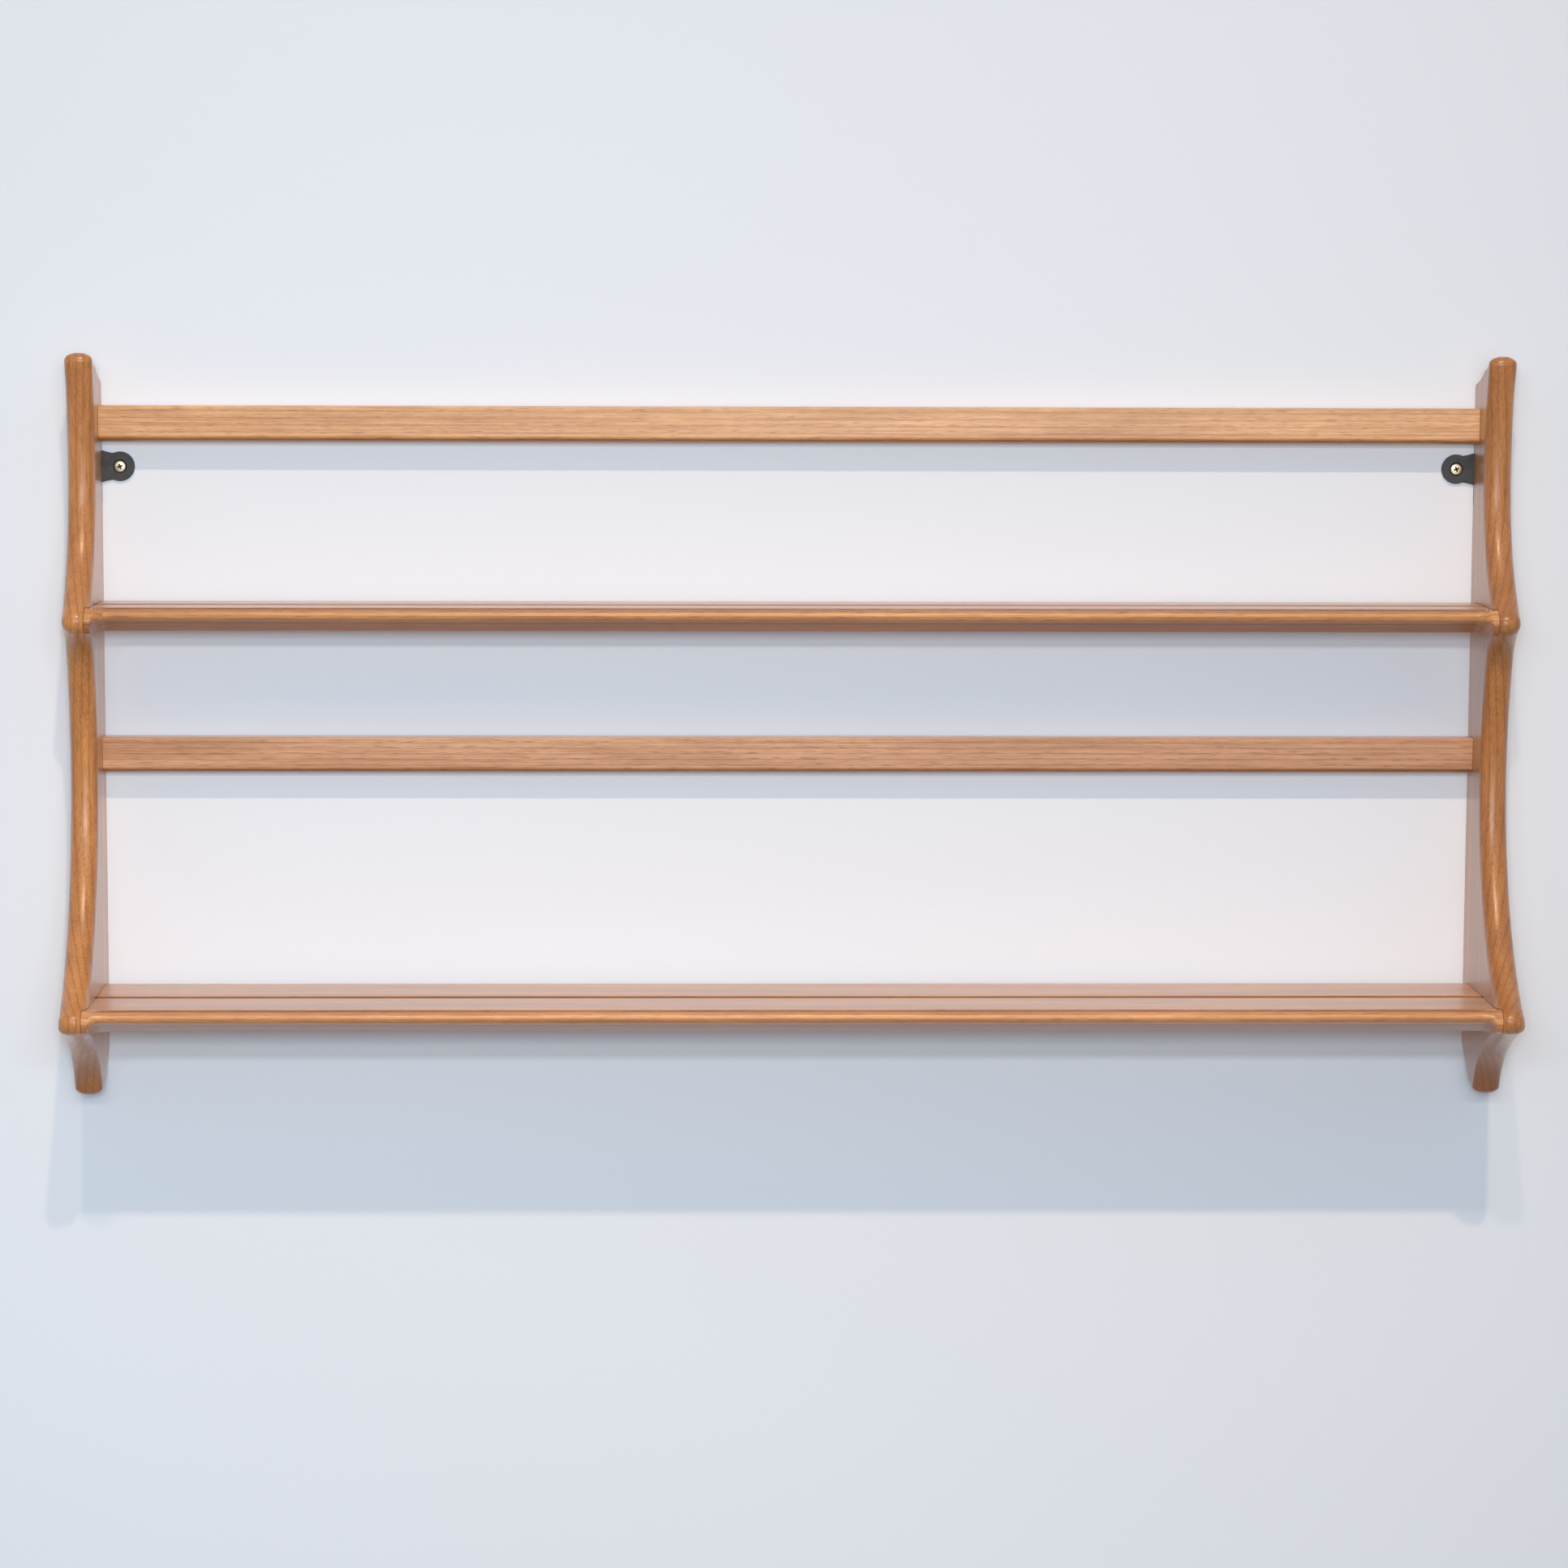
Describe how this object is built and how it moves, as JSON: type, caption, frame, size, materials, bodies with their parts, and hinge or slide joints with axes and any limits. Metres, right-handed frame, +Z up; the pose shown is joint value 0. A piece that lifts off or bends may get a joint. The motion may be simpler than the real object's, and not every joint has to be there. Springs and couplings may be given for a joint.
{
  "type": "wall plate rack",
  "caption": "Wall-hung wooden plate rack with curved end panels, grooved shelves with moulded noses, and rails near the wall for plates to lean on.",
  "frame": {"origin": "on the wall plane, midway between the two wall screws that the rack hangs on", "axes": "+X to the right along the shelves, +Y into the wall, so the rack faces -Y, +Z up"},
  "size_m": [0.97, 0.1684, 0.5011],
  "materials": {
    "panel_elm": "warm brown elm under a satin lacquer",
    "shelf_elm": "warm brown elm under a satin lacquer",
    "rail_elm": "light brown elm under a satin lacquer",
    "beech": "bare fluted beech",
    "black_steel": "black enamelled steel",
    "plated_steel": "yellowish zinc plate"
  },
  "bodies": {
    "root": {"left_end_panel": "panel_elm", "left_hanging_plate": "black_steel", "left_wall_screw": "plated_steel", "right_end_panel": "panel_elm", "right_hanging_plate": "black_steel", "right_wall_screw": "plated_steel", "left_plate_screw_top": "plated_steel", "left_plate_screw_bottom": "plated_steel", "right_plate_screw_top": "plated_steel", "right_plate_screw_bottom": "plated_steel", "upper_shelf_dowel_left_1": "beech", "upper_shelf_dowel_left_2": "beech", "lower_shelf_dowel_left_1": "beech", "lower_shelf_dowel_left_2": "beech", "lower_shelf_dowel_left_3": "beech", "upper_rail_dowel_left_1": "beech", "upper_rail_dowel_left_2": "beech", "lower_rail_dowel_left_1": "beech", "lower_rail_dowel_left_2": "beech", "upper_shelf_dowel_right_1": "beech", "upper_shelf_dowel_right_2": "beech", "lower_shelf_dowel_right_1": "beech", "lower_shelf_dowel_right_2": "beech", "lower_shelf_dowel_right_3": "beech", "upper_rail_dowel_right_1": "beech", "upper_rail_dowel_right_2": "beech", "lower_rail_dowel_right_1": "beech", "lower_rail_dowel_right_2": "beech", "upper_shelf": "shelf_elm", "lower_shelf": "shelf_elm", "upper_rail": "rail_elm", "lower_rail": "rail_elm"}
  },
  "joints": []
}
